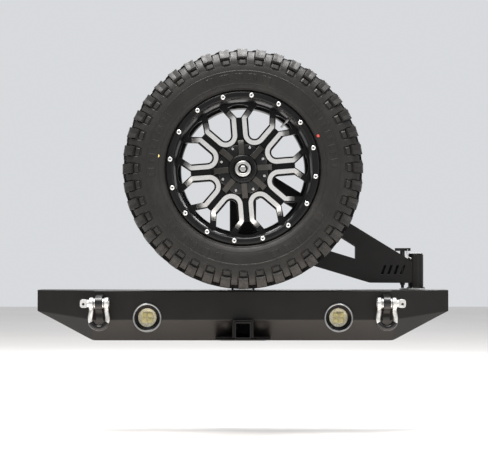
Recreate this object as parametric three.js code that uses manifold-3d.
// Swing-out spare tire carrier for the rear of a four-wheel-drive vehicle: a folded steel rear bumper,
// an A-shaped arm that swings on a vertical spindle in the bumper's right wing, and the spare wheel
// bolted to the arm. Millimetres, +Z up, +Y towards the vehicle, +X to the right seen from behind.
// The part's origin is the centre of the face where the bumper bolts to the frame crossmember.
// Inside the rig group, z = 0 is the bumper's top plane and y = 0 the plane of its rear face.

import * as THREE from 'three';
import { ConvexGeometry } from 'three/addons/geometries/ConvexGeometry.js';
import { mergeVertices } from 'three/addons/utils/BufferGeometryUtils.js';
import Module from 'manifold-3d';

const wasm = await Module();
wasm.setup();

// ---- Driving dimensions ----

const GAP = 0.3; // clearance between pieces that touch
const SHEET = 5; // bumper plate thickness
const PLATE = 6; // carrier plate thickness

const BUMPER = {
  depth: 210, // top flange, front to back
  upperHeight: 110, // upper rear face
  totalHeight: 188,
  undercut: 50, // how far the lower face leans in under the upper one
  lip: 45, // return flange along the bottom
  bendX: 550, // where each wing starts
  bottomX: 560, // where the bottom edge starts to rise
  tipX: 772,
  tipY: 90, // how far a wing tip sits forward of the rear face
  tipHeight: 79,
};

const MOUNT_FACE = { y: 250, z: -90 }; // the bolted face, which becomes the part's origin
const LIGHT = { x: 353.5, z: -101, bezelR: 53.5, bezelBore: 42, lensR: 34 };
const SHACKLE = { x: 528, y: -36, z: -48, tab: 25, earX: 27.5, bodyR: 8.5, bowR: 32, pinR: 11 };
const RECEIVER = { z: -146, outer: 63.5, bore: 51, mouthY: -42 };
const CHAIN_PLATE = { width: 205, thick: 5, rearY: -48, frontY: 40 };

const SPINDLE = { x: 657, y: 155, shaftR: 14, threadR: 11 };
const HINGE_TUBE = { outerR: 29, boreR: 23, bottom: 10, top: 133 };

const ARM = { rearY: 130, frontY: 180 }; // outside faces of the boxed arm
const WEB = { thick: 5, inset: 2, rightX: 588 };
const WHEEL = { z: 440, midY: -44, tireR: 436, sideV: -159, lipR: 274, padV: 18.7, spokes: 8, facets: 48 };
const SPOKE = {
  firstAngle: THREE.MathUtils.degToRad(94.5), // of the spoke that points up
  halfWidth: 28.5,
  halfGroove: 8.5,
  forkAt: 185,
  window: 137, // centre of each window's round inner end
  outerR: 236,
  valveAngle: 47.6, // degrees up from the right
  faceV: -55,
  backV: -30,
};
const STUD = { circleR: 63.5, count: 5, radius: 6, length: 50 };
const BOLT = { radius: 9, tip: 12, top: 202, handleZ: 114, handleX: -262 }; // of the closing latch
const DETENT = { x: 606, y: 148, pinR: 6, plateInner: 41, plateOuter: 62, openAngle: 95, handleZ: 146.5 };

// The arm plates, as corners in the X-Z plane.
const ARM_OUTLINE = [
  [638, 25], [482, 26], [50, 155], [50, 62], [-50, 62], [-50, 350], [-85, 392], [-85, 490],
  [-50, 525], [30, 525], [66, 500], [80, 452], [638, 109],
];
const ARM_WINDOW = [[427, 117], [427, 163], [100, 366], [50, 340], [50, 232]];

// ---- Materials ----

const material = (color, roughness, metalness, extra = {}) =>
  new THREE.MeshStandardMaterial({ color, roughness, metalness, ...extra });
const M = {
  powderCoat: material(0x2b2928, 0.62, 0.35),
  zinc: material(0xb9bcc0, 0.35, 0.9),
  galvanized: material(0xc9cbcc, 0.4, 0.85),
  bearingSteel: material(0x8f9296, 0.3, 0.95),
  rubber: material(0x141414, 0.85, 0.0),
  tire: material(0x26241f, 0.82, 0.0),
  wheelPaint: material(0x0b0b0c, 0.22, 0.5),
  lampBody: material(0x101113, 0.5, 0.6),
  bezel: material(0x8d9196, 0.38, 0.8),
  lens: material(0xf1ecd0, 0.1, 0.0, { transparent: true, opacity: 0.45 }),
  grip: material(0x1a1a1a, 0.8, 0.0),
};

// ---- Solids and geometry helpers ----

function bare(geometry) {
  const loose = geometry.index ? geometry.toNonIndexed() : geometry;
  const only = new THREE.BufferGeometry();
  only.setAttribute('position', loose.getAttribute('position'));
  return mergeVertices(only, 1e-4);
}

// A closed geometry as a manifold-3d solid with its faces pointing out.
function toSolid(geometry) {
  const merged = bare(geometry);
  const triVerts = new Uint32Array(merged.index.array);
  const build = () =>
    new wasm.Manifold(
      new wasm.Mesh({ numProp: 3, vertProperties: merged.attributes.position.array, triVerts }),
    );
  const first = build();
  if (first.volume() >= 0) return first;
  for (let i = 0; i < triVerts.length; i += 3) {
    [triVerts[i + 1], triVerts[i + 2]] = [triVerts[i + 2], triVerts[i + 1]];
  }
  return build();
}

function toGeometry(solid) {
  const mesh = solid.getMesh();
  const positions = new Float32Array(mesh.numVert * 3);
  for (let i = 0; i < mesh.numVert; i++) {
    const from = i * mesh.numProp;
    positions.set(mesh.vertProperties.subarray(from, from + 3), i * 3);
  }
  const geometry = new THREE.BufferGeometry();
  geometry.setAttribute('position', new THREE.BufferAttribute(positions, 3));
  geometry.setIndex(new THREE.BufferAttribute(new Uint32Array(mesh.triVerts), 1));
  geometry.computeVertexNormals();
  return geometry;
}

const union = (...parts) => parts.reduce((a, b) => a.add(b));
const cut = (body, ...tools) => tools.reduce((a, b) => a.subtract(b), body);

// A block between two opposite corners.
function block([x0, y0, z0], [x1, y1, z1]) {
  const box = new THREE.BoxGeometry(x1 - x0, y1 - y0, z1 - z0);
  return toSolid(box.translate((x0 + x1) / 2, (y0 + y1) / 2, (z0 + z1) / 2));
}

const TURN = {
  x: new THREE.Matrix4().makeRotationZ(-Math.PI / 2), // a cylinder's own axis is Y
  y: new THREE.Matrix4(),
  z: new THREE.Matrix4().makeRotationX(Math.PI / 2),
};

// A round bar along an axis, from one end to the other, centred on (a, b) in the other two axes.
function bar(axis, radius, from, to, [a, b] = [0, 0], sides = 24) {
  const mid = (from + to) / 2;
  const place = { x: [mid, a, b], y: [a, mid, b], z: [a, b, mid] }[axis];
  const geometry = new THREE.CylinderGeometry(radius, radius, to - from, sides);
  return toSolid(geometry.applyMatrix4(TURN[axis]).translate(...place));
}

const shapeOf = (points) => new THREE.Shape(points.map(([a, b]) => new THREE.Vector2(a, b)));

// Local axes of an extrusion laid into the X-Z plane (thickness along Y) or the Y-Z plane (along X).
const vec = (x, y, z) => new THREE.Vector3(x, y, z);
const LAY_XZ = new THREE.Matrix4().makeBasis(vec(1, 0, 0), vec(0, 0, 1), vec(0, -1, 0));
const LAY_YZ = new THREE.Matrix4().makeBasis(vec(0, 1, 0), vec(0, 0, 1), vec(1, 0, 0));

// A flat plate with the given outline, laid by a matrix and moved; holes are outlines too.
function plate(points, thick, holes, lay, [x, y, z]) {
  const solid = (outline, from, depth) => {
    const shape = new THREE.ExtrudeGeometry(shapeOf(outline), { depth, bevelEnabled: false });
    return toSolid(shape.translate(0, 0, from).applyMatrix4(lay).translate(x, y, z));
  };
  return cut(solid(points, 0, thick), ...holes.map((hole) => solid(hole, -5, thick + 10)));
}

const plateXZ = (points, y0, y1, holes = []) => plate(points, y1 - y0, holes, LAY_XZ, [0, y1, 0]);
const plateYZ = (points, x0, x1, holes = []) => plate(points, x1 - x0, holes, LAY_YZ, [x0, 0, 0]);
const plateXY = (points, z0, z1, holes = []) => plate(points, z1 - z0, holes, TURN.y, [0, 0, z0]);

// A round wire or bar that follows a curve.
function tubeAlong(curve, radius, steps, sides = 10) {
  const section = shapeOf(circle(0, 0, radius, sides));
  return toSolid(new THREE.ExtrudeGeometry(section, { steps, extrudePath: curve, bevelEnabled: false }));
}

// A profile of [radius, height] points turned about an axis through (a, b).
function turned(axis, profile, [a, b] = [0, 0], sides = 32) {
  const points = profile.map(([r, h]) => new THREE.Vector2(r, h));
  if (profile[0][0] > 0) points.push(points[0].clone());
  const lathe = new THREE.LatheGeometry(points, sides);
  const place = { x: [0, a, b], y: [a, 0, b], z: [a, b, 0] }[axis];
  return toSolid(lathe.applyMatrix4(TURN[axis]).translate(...place));
}

const circle = (x, y, r, sides = 24) =>
  Array.from({ length: sides }, (_, i) => {
    const t = (i / sides) * 2 * Math.PI;
    return [x + r * Math.cos(t), y + r * Math.sin(t)];
  });

// A rounded rectangle as an outline.
function roundedBox(x0, y0, x1, y1, r, steps = 4) {
  const corners = [[x1 - r, y1 - r, 0], [x0 + r, y1 - r, 1], [x0 + r, y0 + r, 2], [x1 - r, y0 + r, 3]];
  return corners.flatMap(([cx, cy, quarter]) =>
    Array.from({ length: steps + 1 }, (_, i) => {
      const t = (quarter + i / steps) * (Math.PI / 2);
      return [cx + r * Math.cos(t), cy + r * Math.sin(t)];
    }),
  );
}

// The outline of a strip of the given thickness whose one side follows a polyline. A positive
// thickness lies to the left of the way along it.
function strip(points, thick) {
  const at = points.map(([x, y]) => new THREE.Vector2(x, y));
  const normals = at.slice(1).map((p, i) => {
    const d = p.clone().sub(at[i]).normalize();
    return new THREE.Vector2(-d.y, d.x);
  });
  const moved = at.map((p, i) => {
    const n0 = normals[Math.max(0, i - 1)];
    const n1 = normals[Math.min(i, normals.length - 1)];
    const mitre = n0.clone().add(n1).normalize();
    return p.clone().addScaledVector(mitre, thick / mitre.dot(n0));
  });
  return [...at, ...moved.reverse()].map((p) => [p.x, p.y]);
}

// An outline moved inwards by a distance, for a closed counter-clockwise or clockwise polygon.
function inset(points, distance) {
  const turn = THREE.ShapeUtils.isClockWise(points.map(([x, y]) => new THREE.Vector2(x, y))) ? -1 : 1;
  const n = points.length;
  return points.map((p, i) => {
    const side = (q, r) => {
      const d = new THREE.Vector2(r[0] - q[0], r[1] - q[1]).normalize();
      return new THREE.Vector2(-d.y * turn, d.x * turn);
    };
    const n0 = side(points[(i + n - 1) % n], p);
    const n1 = side(p, points[(i + 1) % n]);
    const mitre = n0.clone().add(n1).normalize();
    const step = distance / mitre.dot(n0);
    return [p[0] + mitre.x * step, p[1] + mitre.y * step];
  });
}

// ---- Scene graph ----

const root = new THREE.Group();
const rig = new THREE.Group();
rig.position.set(0, -MOUNT_FACE.y, -MOUNT_FACE.z);
root.add(rig);

const groups = {};
for (const name of ['bumper', 'carrier', 'spareWheel', 'latchBolt', 'holdOpenPin']) {
  groups[name] = new THREE.Group();
  rig.add(groups[name]);
}

function add(group, name, solid, look) {
  const mesh = new THREE.Mesh(toGeometry(solid), look);
  mesh.name = name;
  group.add(mesh);
  return mesh;
}

const SIDES = { left: -1, right: 1 };

// ---- Bumper: folded shell ----

function bumperSection() {
  const { depth, upperHeight, totalHeight, undercut, lip } = BUMPER;
  return strip(
    [[depth, 0], [0, 0], [0, -upperHeight], [undercut, -totalHeight], [undercut + lip, -totalHeight]],
    SHEET,
  );
}

function lightHole(side) {
  return bar('y', LIGHT.bezelR + GAP, -20, 70, [side * LIGHT.x, LIGHT.z], 32);
}

function shackleSlot(side) {
  const half = SHACKLE.tab / 2 + GAP;
  const x = side * SHACKLE.x;
  return block([x - half, -20, -118 - GAP], [x + half, 30, -12 + GAP]);
}

function buildCenterChannel() {
  const half = BUMPER.bendX;
  const opening = RECEIVER.outer / 2 + 1.5;
  const receiverCut = block([-opening, -20, RECEIVER.z - opening], [opening, 60, RECEIVER.z + opening]);
  const holes = Object.values(SIDES).flatMap((side) => [lightHole(side), shackleSlot(side)]);
  add(
    groups.bumper,
    'center_channel',
    cut(plateYZ(bumperSection(), -half, half), receiverCut, ...holes),
    M.powderCoat,
  );
}

// One wing as a convex solid, its rear, top, end and bottom faces moved inwards by a distance.
function wingHull(side, inward) {
  const { depth, upperHeight, totalHeight, undercut, bendX, bottomX, tipX, tipY, tipHeight } = BUMPER;
  const past = inward ? 50 : 0; // the inner hull runs on, so that it cuts the wing open there
  const x0 = bendX + GAP - past;
  const front = depth + past;
  const top = -inward;
  const bottom = -totalHeight + inward;
  const crease = -upperHeight + inward * 0.4;
  const bottomY = undercut + inward * 1.2;
  const riseX = bottomX - inward * 1.2;
  const tip = tipX - inward;
  const tipRearY = ((tip - bendX) * tipY) / (tipX - bendX) + inward * 1.08;
  const tipBottom = -tipHeight + inward * 0.8;
  const corners = [
    [x0, inward, top], [x0, inward, crease], [x0, bottomY, bottom],
    [bendX + GAP, inward, top], [bendX + GAP, inward, crease], [riseX, bottomY, bottom],
    [tip, tipRearY, top], [tip, tipRearY, tipBottom],
    [x0, front, top], [x0, front, bottom], [riseX, front, bottom],
    [tip, front, top], [tip, front, tipBottom],
  ];
  return toSolid(new ConvexGeometry(corners.map(([x, y, z]) => vec(side * x, y, z))));
}

function buildWing(name, side) {
  const { totalHeight, undercut, lip, bottomX, tipX, tipHeight, depth, bendX } = BUMPER;
  const returnY = undercut + lip;
  // The underside is open forward of the return flange, which widens towards the tip.
  const openUnder = plateXZ(
    [[bendX - 60, -totalHeight - 20], [bottomX + 6, -totalHeight - 20], [tipX - 24, -tipHeight - 25],
      [tipX - 24, -tipHeight + 22], [bottomX, -totalHeight + 40], [bendX - 60, -totalHeight + 40]]
      .map(([x, z]) => [side * x, z]),
    returnY + 40,
    depth + 60,
  );
  const [flatFrom, flatTo] = side > 0 ? [bendX - 60, bottomX + 6] : [-bottomX - 6, -bendX + 60];
  const flat = block([flatFrom, returnY, -totalHeight - 20], [flatTo, returnY + 60, -totalHeight + 20]);
  let wing = cut(wingHull(side, 0), wingHull(side, SHEET), openUnder, flat);
  if (side > 0) {
    wing = cut(wing, bar('z', SPINDLE.shaftR + GAP, -40, 40, [SPINDLE.x, SPINDLE.y], 32));
  }
  add(groups.bumper, name, wing, M.powderCoat);
}

// ---- Bumper: brackets, receiver and recovery points ----

function buildBrackets() {
  const plateThick = 10;
  const bolts = [-120, 120].flatMap((x) =>
    [-50, -130].map((z) => bar('y', 7, 200, 300, [x, z], 16)));
  const face = block([-170, MOUNT_FACE.y - plateThick, -178], [170, MOUNT_FACE.y, -2]);
  add(groups.bumper, 'crossmember_plate', cut(face, ...bolts), M.powderCoat);

  for (const [name, side] of Object.entries(SIDES)) {
    const x = side * 430;
    const web = plateYZ(
      [[SHEET + GAP, -12], [MOUNT_FACE.y - 8, -12], [MOUNT_FACE.y - 8, -150], [90, -150], [40, -105],
        [SHEET + GAP, -100]],
      x - 4,
      x + 4,
    );
    const flange = block([x - 55, MOUNT_FACE.y - 8, -150], [x + 55, MOUNT_FACE.y, -12]);
    const holes = [-35, 35].map((dx) => bar('y', 7, 200, 300, [x + dx, -80], 16));
    add(groups.bumper, `frame_bracket_${name}`, cut(union(web, flange), ...holes), M.powderCoat);
  }
}

function buildReceiver() {
  const { z, outer, bore, mouthY } = RECEIVER;
  const end = MOUNT_FACE.y - 10 - GAP;
  const square = (half, r) => roundedBox(-half, z - half, half, z + half, r, 3);
  const tube = plateXZ(square(outer / 2, 7), mouthY, end, [square(bore / 2, 3)]);
  // The cross hole takes the hitch pin.
  const pinHole = bar('x', 8.3, -60, 60, [78, z], 16);
  add(groups.bumper, 'receiver_tube', cut(tube, pinHole), M.powderCoat);

  const half = outer / 2;
  const collar = roundedBox(-half - 7, z - half - 20, half + 7, z + half + 7, 8);
  const inner = roundedBox(-half - GAP, z - half - 40, half + GAP, z + half + GAP, 7);
  const below = block([-60, -80, z - half - 60], [60, 0, z - half]);
  add(
    groups.bumper,
    'receiver_collar',
    cut(plateXZ(collar, mouthY + 4, mouthY + 30), plateXZ(inner, mouthY, mouthY + 40), below),
    M.powderCoat,
  );

  const top = z - half - GAP;
  const w = CHAIN_PLATE.width / 2;
  const outline = [[-w, CHAIN_PLATE.frontY], [-w, -22], [-w + 26, CHAIN_PLATE.rearY],
    [w - 26, CHAIN_PLATE.rearY], [w, -22], [w, CHAIN_PLATE.frontY]];
  const eyes = [-1, 1].map((s) => circle(s * (w - 34), -16, 14));
  const chainPlate = plateXY(outline, top - CHAIN_PLATE.thick, top, eyes);
  add(groups.bumper, 'safety_chain_plate', chainPlate, M.powderCoat);
}

function buildShackleTab(name, side) {
  const x = side * SHACKLE.x;
  const { y, z } = SHACKLE;
  const half = SHACKLE.tab / 2;
  const nose = bar('x', 27, x - half, x + half, [y, z], 32);
  const outline = [[24, -12], [4, -12], [y - 2, z + 27], [y - 2, z - 27], [-4, -117], [24, -117]];
  const body = plateYZ(outline, x - half, x + half);
  const hole = bar('x', SHACKLE.pinR + 1, x - 30, x + 30, [y, z], 24);
  add(groups.bumper, `shackle_tab_${name}`, cut(union(nose, body), hole), M.powderCoat);
}

const BOW_STEPS = 20;

// The centreline of the bow, from one ear round to the other, with the pin at the origin.
function bowCurve() {
  const { earX, bowR } = SHACKLE;
  const centreZ = -57;
  const arc = Array.from({ length: 9 }, (_, i) => {
    const t = (i / 8) * Math.PI;
    return vec(bowR * Math.cos(t), 0, centreZ - bowR * Math.sin(t));
  });
  return new THREE.CatmullRomCurve3([
    vec(earX, 0, 0), vec(earX, 0, -26), vec(earX + 4, 0, -40), ...arc,
    vec(-earX - 4, 0, -40), vec(-earX, 0, -26), vec(-earX, 0, 0),
  ], false, 'centripetal');
}

function buildShackle(name, side) {
  const group = new THREE.Group();
  group.position.set(side * SHACKLE.x, SHACKLE.y, SHACKLE.z);
  rig.add(group);
  const { earX, bodyR, pinR } = SHACKLE;
  const bow = tubeAlong(bowCurve(), bodyR, BOW_STEPS);
  const ears = [-1, 1].map((s) => bar('x', 22, s * earX - bodyR, s * earX + bodyR, [0, 0], 28));
  const pinBore = bar('x', pinR + GAP, -60, 60, [0, 0], 24);
  add(group, `shackle_bow_${name}`, cut(union(bow, ...ears), pinBore), M.galvanized);

  const out = (a, b) => (side > 0 ? [a, b] : [-b, -a]);
  const face = earX + bodyR + GAP;
  const shank = bar('x', pinR, ...out(-face - 1, face + 3), [0, 0], 24);
  const collar = bar('x', 14, ...out(face, face + 6), [0, 0], 24);
  const eyeX = side * (face + 19);
  const eye = cut(plateXZ(roundedBox(eyeX - 14, -15.5, eyeX + 14, 15.5, 9), -5, 5),
    bar('y', 5, -10, 10, [eyeX + side * 2, -2], 16));
  const neck = block([Math.min(side * face, side * (face + 14)), -5, -9],
    [Math.max(side * face, side * (face + 14)), 5, 9]);
  add(group, `shackle_pin_${name}`, union(shank, collar, eye, neck), M.galvanized);

  const low = block([-80, -40, -160], [80, 40, -63]);
  const sleeve = cut(tubeAlong(bowCurve(), bodyR + 3, BOW_STEPS).intersect(low),
    tubeAlong(bowCurve(), bodyR + GAP, BOW_STEPS));
  add(group, `shackle_isolator_${name}`, sleeve, M.rubber);
}

function buildFogLight(name, side) {
  const group = new THREE.Group();
  group.position.set(side * LIGHT.x, 0, LIGHT.z);
  rig.add(group);
  const { bezelR, bezelBore, lensR } = LIGHT;
  const bezel = [[bezelR, -5], [bezelR - 2, -8], [bezelBore + 2, -8], [bezelBore, -5], [bezelBore, 44],
    [bezelR, 44]];
  add(group, `fog_light_bezel_${name}`, turned('y', bezel, [0, 0], 32), M.bezel);
  const r = bezelBore - GAP;
  const shell = [[0, 20], [lensR - 3, 20], [lensR - 3, 8], [lensR + 1, 8], [lensR + 1, 2], [r, 2], [r, 40],
    [r - 6, 46], [r - 6, 60], [0, 60]];
  add(group, `fog_light_housing_${name}`, turned('y', shell, [0, 0], 28), M.lampBody);
  const lens = [[0, 3], [lensR * 0.7, 3.4], [lensR, 4.6], [lensR, 7.6], [0, 7.6]];
  add(group, `fog_light_lens_${name}`, turned('y', lens, [0, 0], 28), M.lens);
}

// ---- Spindle and hinge ----

function buildSpindle() {
  const at = [SPINDLE.x, SPINDLE.y];
  const { shaftR, threadR } = SPINDLE;
  const shaft = [[0, -70], [shaftR - 2, -70], [shaftR, -68], [shaftR, 108], [threadR, 109], [threadR, 125],
    [threadR - 1.5, 127], [0, 127]];
  add(groups.bumper, 'spindle', turned('z', shaft, at, 32), M.bearingSteel);
  const ring = (outer, inner, z0, z1, sides = 32) =>
    cut(bar('z', outer, z0, z1, at, sides), bar('z', inner, z0 - 1, z1 + 1, at, 32));
  add(groups.bumper, 'spindle_base', ring(34, shaftR + GAP, GAP, 9.4, 40), M.powderCoat);
  add(groups.bumper, 'spindle_nut', ring(18, threadR + GAP, 109.4, 121, 6), M.zinc);

  const { outerR, boreR: bore, bottom, top } = HINGE_TUBE;
  add(groups.carrier, 'hinge_tube', ring(outerR, bore, bottom, top, 40), M.powderCoat);
  add(groups.carrier, 'lower_bearing', ring(bore - GAP, shaftR + GAP, 18, 36), M.bearingSteel);
  add(groups.carrier, 'upper_bearing', ring(bore - GAP, shaftR + GAP, 90, 108), M.bearingSteel);
  const cap = [[0, 129], [bore - GAP, 129], [bore - GAP, top + GAP], [bore + 4, top + GAP],
    [bore + 4, top + 4], [bore - 3, top + 6.5], [0, top + 7]];
  add(groups.carrier, 'dust_cap', turned('z', cap, at, 32), M.rubber);
}

function buildHoldOpen() {
  // The quadrant that the pin rides on, with the hole that it faces at the open stop.
  const { x, y, pinR, plateInner, plateOuter, openAngle, handleZ } = DETENT;
  const around = (r, t) => [SPINDLE.x + r * Math.cos(t), SPINDLE.y + r * Math.sin(t)];
  const reach = Math.hypot(x - SPINDLE.x, y - SPINDLE.y);
  const closed = Math.atan2(y - SPINDLE.y, x - SPINDLE.x);
  const open = closed + THREE.MathUtils.degToRad(openAngle);
  const margin = 0.25;
  const sweep = Array.from({ length: 21 }, (_, i) =>
    closed - margin + ((open - closed + 2 * margin) * i) / 20);
  const sector = [...sweep.map((t) => around(plateOuter, t)),
    ...[...sweep].reverse().map((t) => around(plateInner, t))];
  const hole = circle(...around(reach, open), pinR + 1, 16);
  add(groups.bumper, 'detent_plate', plateXY(sector, GAP, 5.3, [hole]), M.zinc);

  const upright = (radius, z0, z1, sides = 20) => bar('z', radius, z0, z1, [x, y], sides);
  const guide = cut(upright(pinR + 3.5, 18, 132), upright(pinR + 0.5, 10, 150));
  add(groups.carrier, 'hold_open_guide', guide, M.zinc);
  const pin = union(upright(pinR, 6, handleZ + 3), upright(pinR + 3, 132.5, handleZ - GAP, 24));
  add(groups.holdOpenPin, 'hold_open_pin', pin, M.zinc);
  // A flat bar on top of the pin is pulled up by hand; a bent clip keeps it on.
  const outline = [[x - 28, y - 9], [x + 16, y - 9], [x + 16, y - 27], [x + 28, y - 27], [x + 28, y + 9],
    [x - 28, y + 9]];
  const handle = cut(plateXY(outline, handleZ, handleZ + 11), upright(pinR + GAP, 100, handleZ + 3 + GAP));
  add(groups.holdOpenPin, 'hold_open_handle', handle, M.powderCoat);
  const clipY = y - 27 - 1.9 - GAP;
  const clip = new THREE.CatmullRomCurve3([vec(x + 17, clipY, handleZ + 6), vec(x + 14, clipY, handleZ - 8),
    vec(x + 18, clipY, handleZ - 20), vec(x + 27, clipY, handleZ - 28)]);
  const knob = toSolid(new THREE.SphereGeometry(3.4, 12, 8).translate(x + 28, clipY, handleZ - 28.5));
  add(groups.holdOpenPin, 'hold_open_clip', union(tubeAlong(clip, 1.8, 14, 8), knob), M.zinc);
}

// ---- Carrier arm ----

function buildArm() {
  const tube = bar('z', HINGE_TUBE.outerR + GAP, -20, 200, [SPINDLE.x, SPINDLE.y], 40);
  // Four slanted slots lighten the outer plate.
  const slots = [0, 1, 2, 3].map((i) => {
    const x = 522 + i * 24;
    return [[x, 58], [x + 9, 58], [x + 21, 92], [x + 12, 92]];
  });
  const { rearY, frontY } = ARM;
  const outer = cut(plateXZ(ARM_OUTLINE, rearY, rearY + PLATE, [ARM_WINDOW, ...slots]), tube);
  const inner = cut(plateXZ(ARM_OUTLINE, frontY - PLATE, frontY, [ARM_WINDOW]), tube);
  add(groups.carrier, 'arm_outer_plate', outer, M.powderCoat);
  add(groups.carrier, 'arm_inner_plate', inner, M.powderCoat);

  const y0 = rearY + PLATE + GAP;
  const y1 = frontY - PLATE - GAP;
  const { thick, inset: ledge, rightX } = WEB;
  const edge = inset(ARM_OUTLINE, ledge);
  const cornerAt = (i) => edge[i];
  const along = (p, q, x) => [x, p[1] + ((q[1] - p[1]) * (x - p[0])) / (q[0] - p[0])];
  const lower = [along(cornerAt(0), cornerAt(1), rightX), cornerAt(1), cornerAt(2)];
  add(groups.carrier, 'lower_web', plateXZ(strip(lower, -thick), y0, y1), M.powderCoat);
  const upper = [cornerAt(11), along(cornerAt(11), cornerAt(12), rightX)];
  add(groups.carrier, 'upper_web', plateXZ(strip(upper, -thick), y0, y1), M.powderCoat);
  const post = [[cornerAt(5)[0], 232], ...[5, 6, 7, 8, 9, 10].map(cornerAt)];
  add(groups.carrier, 'post_web', plateXZ(strip(post, -thick), y0, y1), M.powderCoat);
  const ring = inset(ARM_WINDOW, -ledge);
  add(groups.carrier, 'window_web', plateXZ(inset(ring, -thick), y0, y1, [ring]), M.powderCoat);
}

function buildWheelMount() {
  const centre = [0, WHEEL.z];
  const padY = WHEEL.midY + WHEEL.padV + GAP;
  const tube = cut(bar('y', 57, padY + 8 + GAP, ARM.rearY - GAP, centre, 40),
    bar('y', 50, padY, ARM.rearY + 10, centre, 40));
  add(groups.carrier, 'mount_tube', tube, M.powderCoat);
  const studs = Array.from({ length: STUD.count }, (_, i) => {
    const t = (i / STUD.count) * 2 * Math.PI + Math.PI / 2;
    const at = [STUD.circleR * Math.cos(t), WHEEL.z + STUD.circleR * Math.sin(t)];
    return bar('y', STUD.radius, padY - STUD.length, padY + 4, at, 16);
  });
  const disc = cut(bar('y', 82, padY, padY + 8, centre, 40), bar('y', 30, padY - 20, padY + 20, centre, 32));
  add(groups.carrier, 'wheel_mount_plate', union(disc, ...studs), M.zinc);
}

// ---- Closing latch ----

function buildLatch() {
  const { radius, tip, top, handleZ, handleX } = BOLT;
  const axis = [0, SPINDLE.y];
  // A guide block below, a bridge above and the back plate that joins them, bored for the bolt.
  const housing = union(
    block([-20, 137, 64], [20, 173.5, 102]),
    block([-20, 168.5, 64], [20, 173.5, 196]),
    block([-20, 137, 184], [20, 173.5, 196]),
  );
  add(groups.carrier, 'latch_housing', cut(housing, bar('z', radius + 0.5, 40, 260, axis, 24)), M.zinc);
  const shank = [[0, tip], [radius - 3, tip], [radius, tip + 6], [radius, top], [0, top]];
  const collar = bar('z', radius + 3.5, 104, handleZ + 9, axis, 24);
  const rod = bar('x', 6, handleX, 0, [SPINDLE.y, handleZ], 16);
  add(groups.latchBolt, 'latch_bolt', union(turned('z', shank, axis, 24), collar, rod), M.zinc);
  const grip = cut(bar('x', 13, handleX - 5, handleX + 105, [SPINDLE.y, handleZ], 20),
    bar('x', 6 + GAP, handleX - GAP, handleX + 120, [SPINDLE.y, handleZ], 16));
  add(groups.latchBolt, 'latch_grip', grip, M.grip);
  const spring = cut(
    bar('z', radius + 3.5, handleZ + 9 + GAP, 184 - GAP, axis, 24),
    bar('z', radius + 1.5, 100, 210, axis, 24),
  );
  add(groups.carrier, 'latch_spring', spring, M.bearingSteel);

  // Keeper: a bridge with the bolt's hole and an upright that backs the bump stop.
  const arch = [[-44, GAP], [-44, 34], [44, 34], [44, GAP], [36, GAP], [36, 26], [-36, 26], [-36, GAP]];
  const bridge = plateXZ(arch, 131, 198);
  const upright = block([-30, 192, 30], [30, 198, 104]);
  add(groups.bumper, 'latch_keeper', cut(union(bridge, upright), bar('z', radius + 1.5, 10, 60, axis, 24)),
    M.powderCoat);
  const stop = [[0, 192 - GAP], [18, 192 - GAP], [18, 187], [14, ARM.frontY + GAP], [0, ARM.frontY + GAP]];
  add(groups.bumper, 'bump_stop', turned('y', stop, [0, 84], 28), M.rubber);
}

// ---- Spare wheel: everything in a group at the wheel's centre, axis along Y ----

const mirrored = (points) => points.map(([r, v]) => [r, -v]).reverse();

// A point given as a distance along a spoke's centre line and a distance to its left.
const onSpoke = (direction, along, left) => [
  along * Math.cos(direction) - left * Math.sin(direction),
  along * Math.sin(direction) + left * Math.cos(direction),
];

// The opening between two spokes: a round inner end, straight sides and a narrower outer end.
function windowOutline(direction) {
  const half = Math.PI / WHEEL.spokes;
  const { halfWidth, forkAt, window } = SPOKE;
  const side = (s, along, off) => onSpoke(direction + s * half, along, -s * off);
  const endR = window * Math.sin(half) - halfWidth;
  const inner = [-70, -35, 0, 35, 70].map((deg) => {
    const t = direction + Math.PI + THREE.MathUtils.degToRad(deg);
    return [
      window * Math.cos(direction) + endR * Math.cos(t),
      window * Math.sin(direction) + endR * Math.sin(t),
    ];
  });
  const outer = [-6, 0, 6].map((deg) => {
    const t = direction + THREE.MathUtils.degToRad(deg);
    return [SPOKE.outerR * Math.cos(t), SPOKE.outerR * Math.sin(t)];
  });
  return [side(-1, forkAt, halfWidth), side(-1, forkAt + 40, halfWidth + 31), ...outer,
    side(1, forkAt + 40, halfWidth + 31), side(1, forkAt, halfWidth), ...inner];
}

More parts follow.
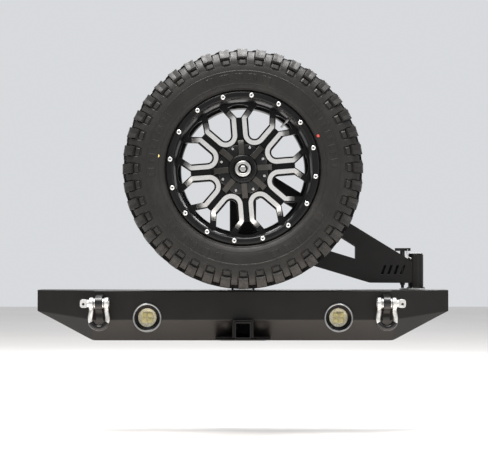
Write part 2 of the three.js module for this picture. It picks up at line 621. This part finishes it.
function buildRim(group) {
  const tireSide = [[271, -135], [271, -127], [254, -127], [250, -30], [234, -10], [234, 40], [254, 72],
    [254, 127], [271, 127], [271, 135]];
  const inside = [[265, 135], [247, 128], [247, 74], [227, 42], [227, -12], [243, -32], [249, -128],
    [262, -135]];
  const barrel = turned('y', [...tireSide, ...inside], [0, 0], WHEEL.facets);
  const { faceV, backV, halfGroove, forkAt, outerR } = SPOKE;
  // The spokes are a disc of their own, whose edge follows the barrel's inside.
  const disc = [[0, faceV], [244, faceV], [242.7, backV - 2], [241, backV], [0, backV]];
  const web = turned('y', disc, [0, 0], WHEEL.facets);
  const hub = bar('y', 86, faceV, WHEEL.padV, [0, 0], 40);
  const cuts = [];
  for (let i = 0; i < WHEEL.spokes; i++) {
    const spoke = SPOKE.firstAngle + (i / WHEEL.spokes) * 2 * Math.PI;
    const at = (along, left) => onSpoke(spoke, along, left);
    cuts.push(plateXZ(windowOutline(spoke + Math.PI / WHEEL.spokes), faceV - 5, backV + 5));
    const fork = [at(forkAt + 4, -halfGroove), at(forkAt + 46, -41), at(outerR, 0), at(forkAt + 46, 41),
      at(forkAt + 4, halfGroove)];
    cuts.push(plateXZ(fork, faceV - 5, backV + 5));
    const groove = [at(110, -halfGroove), at(forkAt + 6, -halfGroove), at(forkAt + 6, halfGroove),
      at(110, halfGroove)];
    cuts.push(plateXZ(groove, faceV - 5, faceV + 8));
  }
  cuts.push(bar('y', 36, -200, 200, [0, 0], 32));
  for (const [z, x] of circle(0, 0, STUD.circleR, STUD.count)) {
    cuts.push(bar('y', 16, faceV - 5, 0, [x, z], 24));
    cuts.push(bar('y', STUD.radius + 1, -10, 40, [x, z], 16));
  }
  const turn = [0, -SPOKE.valveAngle, 0];
  const valveHole = bar('x', 4.2, 200, 270, [-72, 0], 12).rotate(turn);
  add(group, 'wheel_rim', cut(barrel, valveHole), M.wheelPaint);
  add(group, 'wheel_spokes', cut(union(web, hub), ...cuts), M.wheelPaint);
  const stem = union(bar('x', 3.9, 204, 252.6, [-72, 0], 12), bar('x', 7, 232, 242, [-72, 0], 12));
  add(group, 'valve_stem', stem.rotate(turn), M.zinc);
}

function buildWheel() {
  const group = groups.spareWheel;
  group.position.set(0, WHEEL.midY, WHEEL.z);
  const outside = [[254.6, -126.7], [272, -126.7], [277, -133], [298, -151], [345, WHEEL.sideV], [395, -150],
    [421, -131], [434, -85], [WHEEL.tireR, -30]];
  add(group, 'spare_tire', turned('y', [...outside, ...mirrored(outside)], [0, 0], WHEEL.facets), M.tire);
  buildRim(group);

  const ringProfile = [[249, -135.3], [WHEEL.lipR - 2, -135.3], [WHEEL.lipR, -138], [WHEEL.lipR, -141],
    [WHEEL.lipR - 3, -143.5], [253, -143.5], [249, -140]];
  const heads = [];
  for (let i = 0; i < WHEEL.spokes; i++) {
    for (const side of [-1, 1]) {
      const t = SPOKE.firstAngle + (i / WHEEL.spokes) * 2 * Math.PI + (side * Math.PI) / 16;
      heads.push(bar('y', 8, -148, -140, [261.5 * Math.cos(t), 261.5 * Math.sin(t)], 8));
    }
  }
  add(group, 'rim_ring', union(turned('y', ringProfile, [0, 0], WHEEL.facets), ...heads), M.wheelPaint);

  const cap = [[0, -103], [24, -102], [30, -99], [51, -96], [56, -86], [84, -80], [92, -74], [92, -55.3],
    [83, -55.3], [83, -68], [50, -78], [0, -84]];
  const bars = [];
  for (let i = 0; i < WHEEL.spokes; i++) {
    const at = (along, left) => onSpoke(SPOKE.firstAngle + (i / WHEEL.spokes) * 2 * Math.PI, along, left);
    bars.push(plateXZ([at(52, -10.5), at(88, -10.5), at(88, 10.5), at(52, 10.5)], -91, -72));
    bars.push(plateXZ([at(88, -10.5), at(106, -10.5), at(106, 10.5), at(88, 10.5)], -79, -55.3));
  }
  add(group, 'center_cap', union(turned('y', cap, [0, 0], 32), ...bars), M.wheelPaint);

  circle(0, 0, STUD.circleR, STUD.count).forEach(([b, a], i) => {
    const nut = cut(bar('y', 12, -38, -GAP, [a, b], 6), bar('y', STUD.radius + GAP, -34, 5, [a, b], 16));
    add(group, `lug_nut_${i + 1}`, nut, M.zinc);
  });
}

buildCenterChannel();
for (const [name, side] of Object.entries(SIDES)) {
  buildWing(`wing_${name}`, side);
  buildShackleTab(name, side);
  buildShackle(name, side);
  buildFogLight(name, side);
}
buildBrackets();
buildReceiver();
buildSpindle();
buildHoldOpen();
buildArm();
buildWheelMount();
buildLatch();
buildWheel();

export default root;
